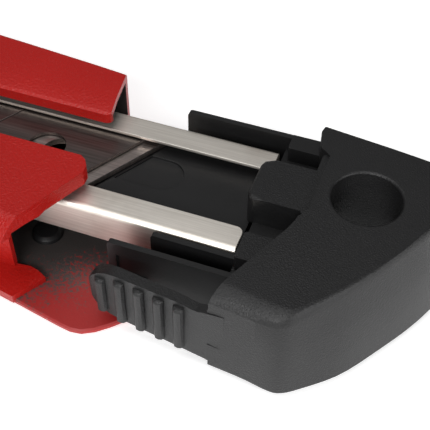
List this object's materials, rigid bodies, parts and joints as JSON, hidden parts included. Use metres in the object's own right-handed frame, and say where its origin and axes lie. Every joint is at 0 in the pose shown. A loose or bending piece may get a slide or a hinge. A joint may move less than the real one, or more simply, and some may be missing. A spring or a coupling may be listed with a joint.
{
  "type": "snap-off utility knife",
  "caption": "Auto-load snap-off utility knife with a painted metal body, thumb slider and a spare-blade magazine drawn out at the rear on a plastic end cap with a release arm and lanyard hole.",
  "frame": {"origin": "bottom centre of the knife's bounding box with the magazine drawn out", "axes": "+X towards the blade tip, +Y towards the cutting edge, +Z towards the thumb slider"},
  "size_m": [0.2078, 0.0412, 0.0203],
  "materials": {
    "red_paint": "glossy powder coat",
    "black_plastic": "fine grained moulding",
    "plated_steel": "bright plated sheet",
    "blade_steel": "oiled dark tool steel",
    "spring_steel": "plain strip",
    "rivet_steel": "satin"
  },
  "bodies": {
    "housing": {"body_shell": "red_paint", "magazine_guide": "black_plastic", "nose_guide": "plated_steel", "nose_rivet_near": "rivet_steel", "nose_rivet_far": "rivet_steel", "floor_stud_rear": "black_plastic", "floor_stud_front": "black_plastic", "detent_strip": "spring_steel", "detent_rivet_rear": "rivet_steel", "detent_rivet_front": "rivet_steel"},
    "magazine": {"magazine_channel": "plated_steel", "end_cap": "black_plastic", "blade_bed": "black_plastic", "bed_rivet": "rivet_steel", "leaf_spring": "spring_steel", "spring_rivet": "rivet_steel", "spare_blade_top": "blade_steel", "spare_blade_middle": "blade_steel", "spare_blade_bottom": "blade_steel"},
    "release_arm_body": {"release_arm": "black_plastic"},
    "slider": {"slider_carrier": "black_plastic", "thumb_pad": "black_plastic", "active_blade": "blade_steel", "detent_spring": "spring_steel"}
  },
  "joints": [
    {"name": "magazine_slide", "type": "slide", "parent": "housing", "child": "magazine", "axis": [1, 0, 0], "range_m": [0, 0.029]},
    {"name": "release_arm_flex", "type": "hinge", "parent": "magazine", "child": "release_arm_body", "pos_m": [-0.07342, 0.01814, 0.0075], "axis": [0, 0, -1], "range_deg": [0, 4], "stiffness_Nm_per_rad": 0.5},
    {"name": "thumb_slide", "type": "slide", "parent": "housing", "child": "slider", "axis": [1, 0, 0], "range_m": [-0.0345, 0.044]}
  ]
}
